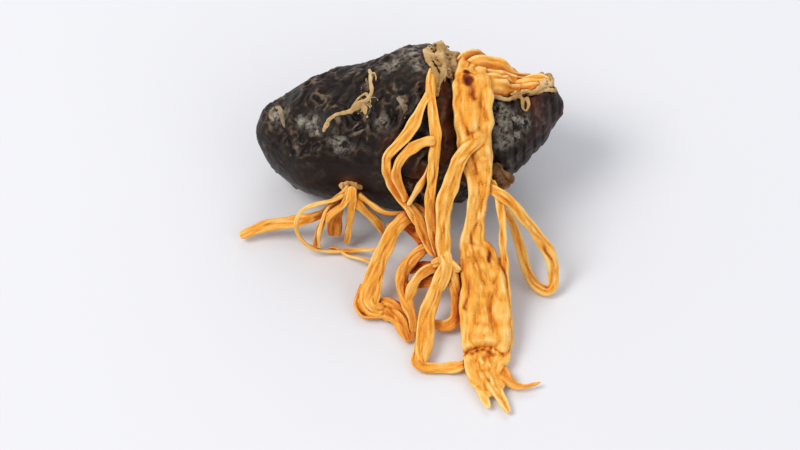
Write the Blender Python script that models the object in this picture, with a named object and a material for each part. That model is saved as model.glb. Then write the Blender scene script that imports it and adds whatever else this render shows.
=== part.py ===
"""Dried cordyceps: a mummified silkworm pupa with the dried stromata of its fungus.

Run with: blender --background --python part.py

The pupa lies along X, its blunt head at -X, on a small flat of its belly at Z = 0.
The stromata grow from a mat on its back and a pad on its belly, hang over its
front and spread along the ground towards -Y. Every size and place in the tables
below is in millimetres, and MM turns it into metres.
"""

import math

import bmesh
import bpy
from mathutils import Vector

MM = 0.001
UP = Vector((0.0, 0.0, 1.0))
FORWARD = Vector((0.0, -1.0, 0.0))

# The pupa's round sections: x, how far back its centre lies, its height, its radius.
PUPA_SECTIONS = (
    (-13.7, 1.0, 6.0, 0.6),
    (-12.9, 1.1, 5.8, 2.4),
    (-11.0, 0.8, 5.6, 4.1),
    (-8.5, 0.6, 5.9, 5.5),
    (-4.5, 0.6, 6.3, 6.2),
    (-2.0, 0.5, 6.7, 6.95),
    (1.0, 0.7, 7.0, 7.5),
    (5.0, 1.4, 6.6, 6.8),
    (7.2, 1.3, 6.9, 6.2),
    (9.3, 1.2, 7.4, 5.2),
    (12.3, 1.8, 8.6, 3.0),
    (13.8, 1.5, 9.0, 0.6),
)
PUPA_RINGS = 30
PUPA_SIDES = 24

# The mat's outline on the pupa's skin: x, the angle of its front edge and of its back edge.
MAT_OUTLINE = (
    (2.0, -17.0, -30.0),
    (4.5, -5.0, -55.0),
    (7.2, -7.0, -64.0),
    (8.4, 6.0, -65.0),
    (9.3, 10.0, -64.0),
    (10.6, 7.0, -60.0),
    (12.3, 7.0, -48.0),
    (12.9, -1.0, -22.0),
)
MAT_THICKNESS = 0.9
MAT_RINGS = 16

# The pad's outline, in the same way.
PAD_OUTLINE = (
    (-6.9, 89.0, 83.0),
    (-6.2, 94.0, 78.0),
    (-5.3, 95.0, 77.0),
    (-4.4, 93.0, 79.0),
    (-3.9, 88.0, 84.0),
)
PAD_THICKNESS = 0.5
PAD_RINGS = 8

SKIN_GAP = 0.45  # between the pupa's skin and what grows on it
CRUST_EDGE = 0.3  # thickness of a mat at its rim
CRUST_ARC_STEPS = 9

STRAND_SIDES = 8
RING_SPACING = 0.75
TIP_SCALE = 0.55  # how much of its width a strand keeps at its end caps
CREST_HEIGHT = 15.0
LARGEST_LEAN = 55.0

ORANGE = (0.80, 0.33, 0.06)
DEEP_ORANGE = (0.66, 0.24, 0.04)
PALE_ORANGE = (0.84, 0.45, 0.14)
CREAM = (0.62, 0.47, 0.22)
BROWN = (0.20, 0.09, 0.03)
SHELL = (0.022, 0.017, 0.015)

# Each stroma: its colour, its thickness as a share of its width, and its path from
# root to tip as rows of x, y, z and width.
STROMATA = {
    "trunk": (
        ORANGE,
        0.45,
        (
            (5.6, 0.8, 14.3, 2.6),
            (5.7, -1.5, 14.0, 3.2),
            (5.8, -3.3, 13.1, 3.3),
            (6.2, -4.7, 11.6, 2.9),
            (6.3, -6.1, 10.2, 2.4),
            (6.2, -7.8, 9.0, 2.0),
            (5.95, -8.9, 8.0, 1.8),
            (5.85, -10.2, 6.9, 1.8),
            (5.9, -11.1, 5.8, 2.0),
            (6.2, -12.1, 4.8, 2.8),
            (6.4, -13.6, 3.5, 3.1),
            (6.4, -15.5, 2.6, 3.1),
            (6.4, -17.4, 1.9, 3.4),
            (6.3, -18.9, 1.4, 3.5),
        ),
    ),
    "trunk_edge": (
        ORANGE,
        0.7,
        (
            (8.0, -6.85, 9.8, 0.5),
            (8.05, -7.6, 9.1, 0.65),
            (8.1, -8.6, 8.1, 0.7),
            (8.3, -9.9, 6.9, 0.7),
            (8.4, -11.3, 5.4, 0.7),
            (8.5, -12.7, 4.0, 0.75),
            (8.6, -14.4, 2.9, 0.8),
            (8.75, -16.3, 2.1, 0.75),
            (8.95, -18.6, 1.5, 0.6),
        ),
    ),
    "trunk_end": (
        ORANGE,
        0.3,
        (
            (6.2, -19.6, 0.9, 3.2),
            (6.25, -20.5, 0.85, 3.5),
            (6.5, -21.6, 0.8, 3.1),
            (6.9, -22.6, 0.75, 2.8),
        ),
    ),
    "finger_left": (
        PALE_ORANGE,
        0.6,
        (
            (6.1, -23.25, 0.6, 0.85),
            (6.5, -24.1, 0.55, 0.8),
            (7.1, -25.4, 0.5, 0.4),
        ),
    ),
    "finger_middle": (
        PALE_ORANGE,
        0.6,
        (
            (7.5, -23.2, 0.65, 1.1),
            (8.1, -24.4, 0.6, 1.0),
            (8.8, -26.0, 0.5, 0.5),
        ),
    ),
    "finger_right": (
        DEEP_ORANGE,
        0.7,
        (
            (8.75, -22.5, 0.65, 0.7),
            (9.4, -23.2, 0.6, 0.8),
            (10.4, -23.3, 0.6, 0.55),
            (11.6, -22.7, 0.7, 0.3),
        ),
    ),
    "front_ribbon": (
        ORANGE,
        0.65,
        (
            (1.95, -1.5, 14.7, 0.6),
            (2.25, -3.8, 13.7, 0.85),
            (2.3, -5.3, 12.4, 0.85),
            (2.15, -6.6, 10.8, 0.8),
            (1.95, -8.0, 9.3, 0.8),
            (1.9, -8.9, 8.0, 0.75),
            (2.0, -9.7, 6.6, 0.7),
            (2.2, -10.6, 5.3, 0.6),
        ),
    ),
    "slanting_stroma": (
        ORANGE,
        0.6,
        (
            (4.05, -4.7, 12.1, 0.8),
            (4.15, -5.7, 11.3, 1.0),
            (4.1, -6.5, 10.7, 1.2),
            (3.8, -7.3, 10.1, 1.3),
            (3.3, -8.8, 8.8, 1.3),
            (2.95, -10.3, 7.4, 1.2),
            (3.0, -11.7, 5.9, 1.2),
            (3.3, -12.8, 4.7, 1.1),
        ),
    ),
    "outer_hook": (
        PALE_ORANGE,
        0.65,
        (
            (1.05, -2.7, 14.4, 0.5),
            (0.7, -3.5, 14.0, 0.7),
            (0.0, -4.45, 13.1, 0.8),
            (-1.0, -5.15, 12.2, 0.8),
            (-1.9, -5.65, 11.2, 0.75),
            (-2.05, -6.2, 10.4, 0.7),
            (-1.8, -6.65, 9.2, 0.7),
            (-1.3, -7.2, 8.1, 0.65),
            (-0.7, -7.7, 7.3, 0.6),
            (0.0, -8.2, 6.6, 0.5),
        ),
    ),
    "inner_hook": (
        ORANGE,
        0.65,
        (
            (1.5, -5.2, 12.6, 0.6),
            (0.5, -5.5, 12.2, 0.75),
            (-0.4, -5.75, 11.5, 0.75),
            (-1.0, -6.3, 10.7, 0.65),
            (-0.85, -6.7, 9.6, 0.6),
            (-0.4, -7.2, 8.6, 0.55),
            (0.15, -7.8, 7.7, 0.45),
        ),
    ),
    "short_link": (
        DEEP_ORANGE,
        0.7,
        (
            (0.9, -8.8, 6.1, 0.5),
            (1.3, -9.7, 4.9, 0.7),
            (1.9, -10.4, 3.9, 0.7),
            (2.4, -11.2, 3.3, 0.6),
        ),
    ),
    "hairpin_loop": (
        ORANGE,
        0.6,
        (
            (8.95, -8.3, 8.6, 0.5),
            (9.4, -8.7, 7.8, 0.75),
            (10.2, -9.15, 6.7, 0.9),
            (11.1, -9.6, 5.5, 0.95),
            (12.0, -10.15, 4.2, 1.0),
            (12.7, -10.9, 2.9, 1.0),
            (13.0, -11.8, 1.7, 0.95),
            (12.75, -12.6, 0.8, 0.9),
            (12.0, -12.6, 0.6, 0.9),
            (11.1, -11.8, 0.7, 0.85),
            (10.5, -10.65, 1.2, 0.8),
            (10.1, -9.5, 2.0, 0.75),
            (9.7, -8.5, 3.0, 0.7),
            (9.3, -7.9, 3.9, 0.6),
            (8.9, -7.6, 4.8, 0.5),
        ),
    ),
    "long_left_stroma": (
        ORANGE,
        0.7,
        (
            (-6.7, -6.3, 5.0, 0.5),
            (-7.3, -6.55, 4.4, 0.7),
            (-8.5, -6.5, 3.4, 0.8),
            (-10.0, -6.3, 2.5, 0.9),
            (-12.0, -6.1, 1.7, 1.0),
            (-13.8, -6.2, 1.1, 0.95),
            (-15.2, -6.65, 0.7, 0.7),
        ),
    ),
    "crossing_stroma": (
        ORANGE,
        0.8,
        (
            (-5.9, -6.8, 5.3, 0.45),
            (-6.9, -7.4, 5.0, 0.55),
            (-7.7, -7.3, 3.4, 0.55),
            (-8.2, -7.45, 1.6, 0.5),
            (-8.35, -7.7, 0.5, 0.35),
        ),
    ),
    "hanging_stroma": (
        ORANGE,
        0.8,
        (
            (-5.2, -6.8, 4.9, 0.45),
            (-5.2, -6.9, 4.0, 0.6),
            (-5.4, -7.1, 2.3, 0.6),
            (-5.6, -7.5, 0.6, 0.45),
        ),
    ),
    "club_stroma": (
        DEEP_ORANGE,
        0.8,
        (
            (-6.35, -6.15, 3.2, 0.5),
            (-6.55, -6.5, 2.2, 0.95),
            (-6.65, -6.8, 1.1, 0.7),
        ),
    ),
    "slim_stroma": (
        ORANGE,
        0.8,
        (
            (-4.4, -6.5, 5.0, 0.45),
            (-3.9, -6.7, 4.5, 0.6),
            (-3.3, -6.8, 3.8, 0.6),
            (-2.6, -7.0, 2.7, 0.6),
            (-2.1, -7.1, 1.0, 0.45),
        ),
    ),
    "left_fold_upper": (
        ORANGE,
        0.48,
        (
            (0.3, -8.0, 5.0, 0.8),
            (-0.8, -8.9, 5.2, 1.0),
            (-1.8, -9.6, 4.6, 1.2),
            (-2.3, -10.6, 3.9, 1.3),
            (-2.8, -11.6, 3.1, 1.4),
            (-3.3, -12.9, 2.6, 1.5),
            (-3.7, -14.2, 2.0, 1.6),
            (-3.8, -15.0, 1.65, 1.5),
        ),
    ),
    "left_fold_lower": (
        DEEP_ORANGE,
        0.5,
        (
            (-4.1, -15.3, 0.55, 0.9),
            (-3.0, -14.95, 0.55, 1.2),
            (-1.7, -14.8, 0.55, 1.2),
            (-0.8, -15.6, 0.55, 1.1),
            (-0.4, -16.9, 0.5, 0.9),
            (0.0, -18.1, 0.45, 0.5),
        ),
    ),
    "inner_branch": (
        DEEP_ORANGE,
        0.7,
        (
            (0.4, -11.0, 3.2, 0.6),
            (-0.4, -11.9, 2.4, 0.8),
            (-0.6, -13.3, 1.7, 0.8),
            (-0.2, -14.6, 1.3, 0.7),
            (0.35, -15.6, 0.9, 0.5),
        ),
    ),
    "small_arch": (
        ORANGE,
        0.7,
        (
            (2.5, -12.4, 3.6, 0.5),
            (1.7, -12.5, 3.4, 0.7),
            (0.7, -13.0, 2.9, 0.7),
            (0.35, -13.85, 2.3, 0.5),
        ),
    ),
    "front_fold_upper": (
        ORANGE,
        0.55,
        (
            (2.75, -13.8, 3.9, 0.7),
            (2.3, -14.7, 2.9, 1.0),
            (1.9, -15.9, 2.2, 1.2),
            (1.5, -17.3, 1.6, 1.2),
            (1.2, -18.9, 1.2, 1.2),
            (1.1, -20.3, 0.9, 1.0),
        ),
    ),
    "front_fold_lower": (
        ORANGE,
        0.7,
        (
            (0.9, -21.2, 0.5, 0.7),
            (2.0, -21.3, 0.5, 0.75),
            (3.1, -21.3, 0.5, 0.7),
            (4.1, -21.2, 0.5, 0.5),
        ),
    ),
    "small_curl": (
        DEEP_ORANGE,
        0.65,
        (
            (3.9, -13.2, 3.3, 0.6),
            (4.05, -14.05, 2.4, 0.75),
            (4.15, -15.15, 1.7, 0.75),
            (3.9, -16.15, 1.2, 0.75),
            (3.3, -16.6, 0.9, 0.7),
            (2.75, -16.4, 0.8, 0.5),
        ),
    ),
}

# A soft lump of mycelium below the tail, as a short strand of its own.
BUD = (
    BROWN,
    0.65,
    (
        (7.95, -5.3, 8.5, 0.6),
        (8.3, -5.5, 7.6, 1.3),
        (8.7, -5.5, 6.6, 0.7),
    ),
)


def through(rows, share):
    """The point at a share, from 0 to 1, of the way along the smooth curve through the rows."""
    last = len(rows) - 1
    place = min(max(share, 0.0), 1.0) * last
    index = min(int(place), last - 1)
    t = place - index
    before = Vector(rows[max(index - 1, 0)])
    start = Vector(rows[index])
    end = Vector(rows[index + 1])
    after = Vector(rows[min(index + 2, last)])
    slope = end - before
    bend = 2.0 * before - 5.0 * start + 4.0 * end - after
    twist = 3.0 * start - 3.0 * end + after - before
    return start + 0.5 * (slope * t + bend * t * t + twist * t**3)


def section_at(rows, x):
    """The section at x of a table whose rows start with x and rise with it."""
    low, high = 0.0, 1.0
    for _ in range(24):
        middle = (low + high) / 2
        if through(rows, middle)[0] < x:
            low = middle
        else:
            high = middle
    return through(rows, low)


def on_pupa(x, angle, lift):
    """A point this far off the pupa's skin. Angle 0 is along its back and 90 along its front."""
    _, back, height, radius = section_at(PUPA_SECTIONS, x)
    turn = math.radians(angle)
    reach = radius + lift
    return Vector((x, back - reach * math.sin(turn), height + reach * math.cos(turn)))


def finish(name, colour, roughness):
    """A natural matt surface."""
    material = bpy.data.materials.new(name)
    material.use_nodes = True
    surface = material.node_tree.nodes["Principled BSDF"]
    surface.inputs["Base Color"].default_value = (*colour, 1.0)
    surface.inputs["Roughness"].default_value = roughness
    surface.inputs["Metallic"].default_value = 0.0
    return material


def node(name, shape, colour, roughness):
    """The named, smoothly shaded object that a bmesh becomes."""
    bmesh.ops.recalc_face_normals(shape, faces=shape.faces)
    mesh = bpy.data.meshes.new(name)
    shape.to_mesh(mesh)
    shape.free()
    mesh.materials.append(finish(name, colour, roughness))
    mesh.shade_smooth()
    bpy.context.scene.collection.objects.link(bpy.data.objects.new(name, mesh))


def lofted(rings):
    """A closed bmesh whose skin passes through the rings, capped at both ends."""
    shape = bmesh.new()
    bmesh.ops.create_circle(shape, cap_ends=True, radius=1.0, segments=len(rings[0]))
    shape.faces.ensure_lookup_table()
    cap = shape.faces[0]
    for number, ring in enumerate(rings):
        if number:
            cap = bmesh.ops.extrude_discrete_faces(shape, faces=[cap])["faces"][0]
        for vertex, point in zip(cap.verts, ring):
            vertex.co = point * MM
    bmesh.ops.holes_fill(shape, edges=shape.edges)
    return shape


def make_pupa():
    """The pupa, cut flat at Z = 0 where its belly rests."""
    first, last = PUPA_SECTIONS[0][0], PUPA_SECTIONS[-1][0]
    rings = []
    for number in range(PUPA_RINGS):
        # The rings crowd towards both ends, where the skin curves most.
        share = (1.0 - math.cos(math.pi * number / (PUPA_RINGS - 1))) / 2
        x = first + (last - first) * share
        rings.append([on_pupa(x, 360.0 * side / PUPA_SIDES, 0.0) for side in range(PUPA_SIDES)])
    shape = lofted(rings)
    cut = bmesh.ops.bisect_plane(
        shape,
        geom=[*shape.verts, *shape.edges, *shape.faces],
        plane_co=(0.0, 0.0, 0.0),
        plane_no=-UP,
        clear_outer=True,
    )
    rim = [item for item in cut["geom_cut"] if isinstance(item, bmesh.types.BMEdge)]
    bmesh.ops.contextual_create(shape, geom=rim)
    node("pupa", shape, SHELL, 0.55)


def make_crust(name, outline, thickness, ring_count, colour):
    """A thin crust that follows the pupa's skin inside its outline."""
    first, last = outline[0][0], outline[-1][0]
    rings = []
    for number in range(ring_count):
        share = number / (ring_count - 1)
        x, front, back = section_at(outline, first + (last - first) * share)
        swell = math.sqrt(math.sin(math.pi * share))
        outside, inside = [], []
        for step in range(CRUST_ARC_STEPS):
            arc_share = step / (CRUST_ARC_STEPS - 1)
            angle = back + (front - back) * arc_share
            crown = math.sin(math.pi * arc_share) * swell
            height = SKIN_GAP + CRUST_EDGE + (thickness - CRUST_EDGE) * crown
            outside.append(on_pupa(x, angle, height))
            inside.append(on_pupa(x, angle, SKIN_GAP))
        rings.append(outside + inside[::-1])
    node(name, lofted(rings), colour, 0.9)


def facing(height):
    """The way a strand's flat side looks: up on the crest and the ground, forward between."""
    share = min(max((height - 0.5) / (CREST_HEIGHT - 0.5), 0.0), 1.0)
    lean = math.radians(LARGEST_LEAN) * math.sqrt(math.sin(math.pi * share))
    return UP * math.cos(lean) + FORWARD * math.sin(lean)


def make_strand(name, colour, flatness, path):
    """A flattened strand of rounded section along its path."""
    length = sum((Vector(b[:3]) - Vector(a[:3])).length for a, b in zip(path, path[1:]))
    steps = max(round(length / RING_SPACING), 4)
    rings = []
    for number in range(steps + 1):
        share = number / steps
        x, y, z, width = through(path, share)
        ahead = (through(path, share + 0.01) - through(path, share - 0.01)).to_3d()
        across = ahead.cross(facing(z)).normalized()
        outward = across.cross(ahead).normalized()
        scale = TIP_SCALE if number in (0, steps) else 1.0
        ring = []
        for side in range(STRAND_SIDES):
            turn = 2.0 * math.pi * side / STRAND_SIDES
            sideways = across * math.cos(turn)
            upwards = outward * flatness * math.sin(turn)
            ring.append(Vector((x, y, z)) + (sideways + upwards) * width * scale / 2)
        rings.append(ring)
    node(name, lofted(rings), colour, 0.7)


for item in list(bpy.data.objects):
    bpy.data.objects.remove(item)

make_pupa()
make_crust("mycelium_mat", MAT_OUTLINE, MAT_THICKNESS, MAT_RINGS, CREAM)
make_crust("mycelium_pad", PAD_OUTLINE, PAD_THICKNESS, PAD_RINGS, DEEP_ORANGE)
make_strand("mycelium_bud", *BUD)
for strand_name, strand in STROMATA.items():
    make_strand(strand_name, *strand)
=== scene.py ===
import math
import random
from bisect import bisect

import bmesh
import bpy
from mathutils import Matrix, Quaternion, Vector, noise
from mathutils.bvhtree import BVHTree
from mathutils.kdtree import KDTree


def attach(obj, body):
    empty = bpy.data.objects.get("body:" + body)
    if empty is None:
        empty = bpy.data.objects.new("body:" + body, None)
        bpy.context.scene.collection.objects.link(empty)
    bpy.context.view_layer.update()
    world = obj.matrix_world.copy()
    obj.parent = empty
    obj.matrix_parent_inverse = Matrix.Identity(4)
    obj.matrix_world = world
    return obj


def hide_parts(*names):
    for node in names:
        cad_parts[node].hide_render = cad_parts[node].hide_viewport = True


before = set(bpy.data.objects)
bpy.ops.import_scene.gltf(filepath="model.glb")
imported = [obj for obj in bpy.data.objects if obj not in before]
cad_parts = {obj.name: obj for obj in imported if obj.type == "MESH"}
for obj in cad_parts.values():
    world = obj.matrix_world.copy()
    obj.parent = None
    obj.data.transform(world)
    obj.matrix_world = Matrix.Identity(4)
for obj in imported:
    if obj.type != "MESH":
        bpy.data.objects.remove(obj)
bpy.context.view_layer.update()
print("frame loaded")

noise.seed_set(5)   # unseeded, noise_vector starts from the clock
mm = 0.001
up = Vector((0, 0, 1))
forward = Vector((0, -1, 0))
pieces = []   # every finished piece, in the order made


# camera, lamps and sky

view = {"target": (-0.8, -7.9, 4.0), "elevation": 53.13, "distance": 560, "lens": 282}
camera = bpy.data.objects.new("camera", bpy.data.cameras.new("camera"))
bpy.context.scene.collection.objects.link(camera)
tilt = math.radians(view["elevation"])
lookFrom = Vector((0, -math.cos(tilt), math.sin(tilt)))
camera.location = (Vector(view["target"]) + lookFrom * view["distance"]) * mm
camera.rotation_euler = (math.radians(90 - view["elevation"]), 0, 0)
camera.data.lens = view["lens"]
camera.data.clip_start = 0.01
bpy.context.scene.camera = camera
bpy.context.scene.view_settings.view_transform = "Standard"

lamps = {
    "key": {"place": (-480, -130, 700), "size": 430, "watts": 4.25, "tint": (1.0, 0.98, 0.95)},
    "fill": {"place": (560, -500, 520), "size": 700, "watts": 1.1, "tint": (0.96, 0.98, 1.0)},
    "back": {"place": (120, 620, 560), "size": 480, "watts": 1.5, "tint": (1.0, 1.0, 1.0)},
}
for lampName, lamp in lamps.items():
    light = bpy.data.lights.new(lampName, "AREA")
    light.size = lamp["size"] * mm
    light.energy = lamp["watts"]
    light.color = lamp["tint"]
    holder = bpy.data.objects.new(lampName, light)
    holder.location = Vector(lamp["place"]) * mm
    aim = Vector(view["target"]) - Vector(lamp["place"])
    holder.rotation_euler = aim.to_track_quat("-Z", "Y").to_euler()
    bpy.context.scene.collection.objects.link(holder)

world = bpy.data.worlds.new("studio")
world.use_nodes = True
world.node_tree.nodes["Background"].inputs["Color"].default_value = (0.93, 0.95, 1.0, 1)
world.node_tree.nodes["Background"].inputs["Strength"].default_value = 0.57
bpy.context.scene.world = world


# material helpers

def feed(tree, socket, value):
    if isinstance(value, bpy.types.NodeSocket):
        tree.links.new(value, socket)
    else:
        socket.default_value = value


def addNode(tree, kind, inputs=None, **settings):
    made = tree.nodes.new(kind)
    for key, value in settings.items():
        setattr(made, key, value)
    for key, value in (inputs or {}).items():
        feed(tree, made.inputs[key], value)
    return made


def blankMaterial(name):
    material = bpy.data.materials.new(name)
    material.use_nodes = True
    return material, material.node_tree, material.node_tree.nodes["Principled BSDF"]


def setShader(shader, values):
    for key, value in values.items():
        shader.inputs[key].default_value = value


def ramp(tree, factor, stops):
    made = addNode(tree, "ShaderNodeValToRGB", {"Fac": factor})
    marks = made.color_ramp.elements
    while len(marks) < len(stops):
        marks.new(0.5)
    for mark, (place, colour) in zip(marks, stops):
        mark.position = place
        mark.color = (*colour, 1)
    return made.outputs["Color"]


def mixColour(tree, factor, first, second, blend="MIX"):
    made = addNode(tree, "ShaderNodeMix", data_type="RGBA", blend_type=blend)
    for index, value in ((0, factor), (6, first), (7, second)):   # the sockets of a colour mix
        feed(tree, made.inputs[index], (*value, 1) if isinstance(value, tuple) else value)
    return made.outputs[2]


def mathNode(tree, operation, first, second=0.5, third=0.0, clamp=False):
    made = addNode(tree, "ShaderNodeMath", operation=operation, use_clamp=clamp)
    for socket, value in zip(made.inputs, (first, second, third)):
        feed(tree, socket, value)
    return made.outputs[0]


def spread(tree, value, low, high, toLow=0.0, toHigh=1.0):
    made = addNode(tree, "ShaderNodeMapRange", {"Value": value, "From Min": low, "From Max": high,
                                                "To Min": toLow, "To Max": toHigh})
    return made.outputs["Result"]


def noiseAt(tree, place, scale, detail, roughness=0.5, distortion=0.0):
    made = addNode(tree, "ShaderNodeTexNoise", {"Vector": place, "Scale": scale, "Detail": detail,
                                                "Roughness": roughness, "Distortion": distortion})
    return made.outputs["Fac"]


def addBump(tree, shader, height, strength, distance):
    bump = addNode(tree, "ShaderNodeBump", {"Height": height, "Strength": strength, "Distance": distance})
    tree.links.new(bump.outputs["Normal"], shader.inputs["Normal"])


def attribute(tree, name):
    return addNode(tree, "ShaderNodeAttribute", attribute_name=name).outputs["Fac"]


# grain that runs along a strand: it reads the fibre attribute, which is in millimetres
def makeGrainGroup():
    group = bpy.data.node_groups.new("fibreGrain", "ShaderNodeTree")
    for label in ("Along", "Across"):
        group.interface.new_socket(label, in_out="INPUT", socket_type="NodeSocketFloat")
    for label in ("Streaks", "Fine", "Patches"):
        group.interface.new_socket(label, in_out="OUTPUT", socket_type="NodeSocketFloat")
    entry = group.nodes.new("NodeGroupInput").outputs
    leave = group.nodes.new("NodeGroupOutput").inputs
    fibre = addNode(group, "ShaderNodeAttribute", attribute_name="fibre").outputs["Vector"]
    stretch = addNode(group, "ShaderNodeCombineXYZ", {"X": entry["Across"], "Y": entry["Across"],
                                                      "Z": entry["Along"]}).outputs[0]
    place = addNode(group, "ShaderNodeVectorMath", {0: fibre, 1: stretch}, operation="MULTIPLY").outputs[0]
    group.links.new(noiseAt(group, place, 1.0, 4.0, 0.6, 0.4), leave["Streaks"])
    group.links.new(noiseAt(group, place, 3.7, 5.0, 0.7), leave["Fine"])
    group.links.new(noiseAt(group, fibre, 0.55, 3.0), leave["Patches"])
    return group


grainGroup = makeGrainGroup()


# dry flesh: orange on the flats, with painted shade making it red-brown in the creases and a
# painted highlight making it pale on the ridges. Blush makes a strand deeper, at 0, or paler, at 1
fleshTones = {
    "deep": [(0.0, (0.20, 0.034, 0.002)), (0.32, (0.54, 0.14, 0.008)), (0.60, (0.78, 0.26, 0.020)),
             (1.0, (0.93, 0.46, 0.095))],
    "orange": [(0.0, (0.30, 0.058, 0.003)), (0.30, (0.72, 0.225, 0.012)), (0.58, (0.91, 0.385, 0.035)),
               (1.0, (1.0, 0.64, 0.20))],
    "pale": [(0.0, (0.44, 0.110, 0.007)), (0.30, (0.85, 0.34, 0.034)), (0.58, (0.97, 0.49, 0.085)),
             (1.0, (1.0, 0.74, 0.34))],
}


def makeFlesh():
    material, tree, shader = blankMaterial("driedFlesh")
    grains = addNode(tree, "ShaderNodeGroup", {"Along": 0.55, "Across": 4.5}, node_tree=grainGroup).outputs
    relief, shade, blush = (attribute(tree, name) for name in ("relief", "shade", "blush"))
    # painted shade and highlight: relief is low in creases and high on ridges, so the tone darkens the one
    # and lightens the other
    tone = mathNode(tree, "MULTIPLY_ADD", grains["Streaks"], 0.6, relief)
    tone = mathNode(tree, "MULTIPLY_ADD", grains["Fine"], 0.2, tone)
    tone = spread(tree, tone, 0.50, 1.30)
    deep, orange, pale = (ramp(tree, tone, fleshTones[key]) for key in ("deep", "orange", "pale"))
    drift = mathNode(tree, "ADD", blush, spread(tree, grains["Patches"], 0.3, 0.7, -0.22, 0.22))
    colour = mixColour(tree, spread(tree, drift, 0.0, 0.5), deep, orange)
    colour = mixColour(tree, spread(tree, drift, 0.5, 1.0), colour, pale)
    # painted shade: the colour darkens to red-brown where the shade attribute finds a point shut in
    dark = mixColour(tree, 1.0, colour, (0.70, 0.37, 0.08), "MULTIPLY")
    darker = mixColour(tree, 1.0, colour, (0.22, 0.06, 0.012), "MULTIPLY")
    colour = mixColour(tree, spread(tree, shade, 0.10, 0.48), colour, dark)
    colour = mixColour(tree, spread(tree, shade, 0.42, 0.80), colour, darker)
    tree.links.new(colour, shader.inputs["Base Color"])
    tree.links.new(spread(tree, grains["Fine"], 0.3, 0.7, 0.48, 0.72), shader.inputs["Roughness"])
    height = mathNode(tree, "MULTIPLY_ADD", grains["Fine"], 0.5, grains["Streaks"])
    addBump(tree, shader, height, 0.5, 0.00010)
    setShader(shader, {"Subsurface Weight": 0.2, "Subsurface Radius": (1.0, 0.40, 0.10),
                       "Subsurface Scale": 0.0006, "Specular IOR Level": 0.27})
    return material


driedFlesh = makeFlesh()


# routes and strands: everything up to finishPiece is in millimetres
def through(rows, share):
    last = len(rows) - 1
    place = min(max(share, 0), 1) * last
    index = min(int(place), last - 1)
    t = place - index
    before, start = rows[max(index - 1, 0)], rows[index]
    end, after = rows[index + 1], rows[min(index + 2, last)]
    slope = end - before
    bend = 2 * before - 5 * start + 4 * end - after
    twist = 3 * start - 3 * end + after - before
    return start + 0.5 * (slope * t + bend * t * t + twist * t ** 3)


# a smooth route whose rows are read by their distance along it
class Route:
    def __init__(self, rows, samples=240):
        self.rows = [Vector(row) for row in rows]
        self.marks = [0.0]
        self.samples = samples
        last = through(self.rows, 0).xyz
        for number in range(1, samples + 1):
            here = through(self.rows, number / samples).xyz
            self.marks.append(self.marks[-1] + (here - last).length)
            last = here
        self.length = self.marks[-1]

    def at(self, along):
        along = min(max(along, 0), self.length)
        index = min(bisect(self.marks, along), self.samples)
        low, high = self.marks[index - 1], self.marks[index]
        part = (along - low) / (high - low) if high > low else 0
        return through(self.rows, (index - 1 + part) / self.samples)

    def ahead(self, along):
        return (self.at(along + 0.08).xyz - self.at(along - 0.08).xyz).normalized()


def facing(height):
    share = min(max((height - 0.5) / 14.5, 0), 1)
    lean = math.radians(55) * math.sqrt(math.sin(math.pi * share))
    return up * math.cos(lean) + forward * math.sin(lean)


# the across and outward directions of a strand at a row
def frameAt(route, along):
    row = route.at(along)
    ahead = route.ahead(along)
    side = ahead.cross(facing(row.z)).normalized()
    return row, ahead, side, side.cross(ahead)


def newShape():
    shape = bmesh.new()
    for label in ("relief", "shade", "blush"):
        shape.verts.layers.float.new(label)
    shape.verts.layers.float_vector.new("fibre")
    return shape


def soften(shape, verts, rounds):
    for _ in range(rounds):
        bmesh.ops.smooth_vert(shape, verts=verts, factor=0.5, use_axis_x=True, use_axis_y=True,
                              use_axis_z=True)


# an open end left by the first ring of an extrusion is closed with one face
def closeEnds(shape):
    bmesh.ops.holes_fill(shape, edges=[edge for edge in shape.edges if edge.is_boundary])


# relief also takes in how far each point stands out of, or lies below, the smoothed form
def readRelief(shape, rounds, size):
    relief = shape.verts.layers.float["relief"]
    shape.normal_update()
    kept = [(vert.co.copy(), vert.normal.copy()) for vert in shape.verts]
    soften(shape, shape.verts, rounds)
    for vert, (place, normal) in zip(shape.verts, kept):
        proud = (place - vert.co).dot(normal) / size
        vert[relief] = 0.35 * vert[relief] + 0.65 * min(max(0.5 + proud, 0), 1)
        vert.co = place


# melts overlapping forms into one skin and carries their attributes over from the nearest points
def fuse(shape, voxel):
    bmesh.ops.recalc_face_normals(shape, faces=shape.faces)
    raw = bpy.data.objects.new("raw", bpy.data.meshes.new("raw"))
    shape.to_mesh(raw.data)
    bpy.context.scene.collection.objects.link(raw)
    melt = raw.modifiers.new("melt", "REMESH")
    melt.mode = "VOXEL"
    melt.voxel_size = voxel
    bpy.context.view_layer.update()
    melted = raw.evaluated_get(bpy.context.evaluated_depsgraph_get()).to_mesh()
    fused = newShape()
    fused.from_mesh(melted)
    sources = KDTree(len(shape.verts))
    shape.verts.ensure_lookup_table()
    for vert in shape.verts:
        sources.insert(vert.co, vert.index)
    sources.balance()
    floats = [(shape.verts.layers.float[label], fused.verts.layers.float[label])
              for label in ("relief", "blush")]
    oldFibre = shape.verts.layers.float_vector["fibre"]
    newFibre = fused.verts.layers.float_vector["fibre"]
    for vert in fused.verts:
        near = [shape.verts[index] for _, index, _ in sources.find_n(vert.co, 4)]
        for oldLayer, newLayer in floats:
            vert[newLayer] = sum(other[oldLayer] for other in near) / len(near)
        vert[newFibre] = near[0][oldFibre]
    soften(fused, fused.verts, 1)
    shape.free()
    bpy.data.objects.remove(raw)
    return fused


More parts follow.
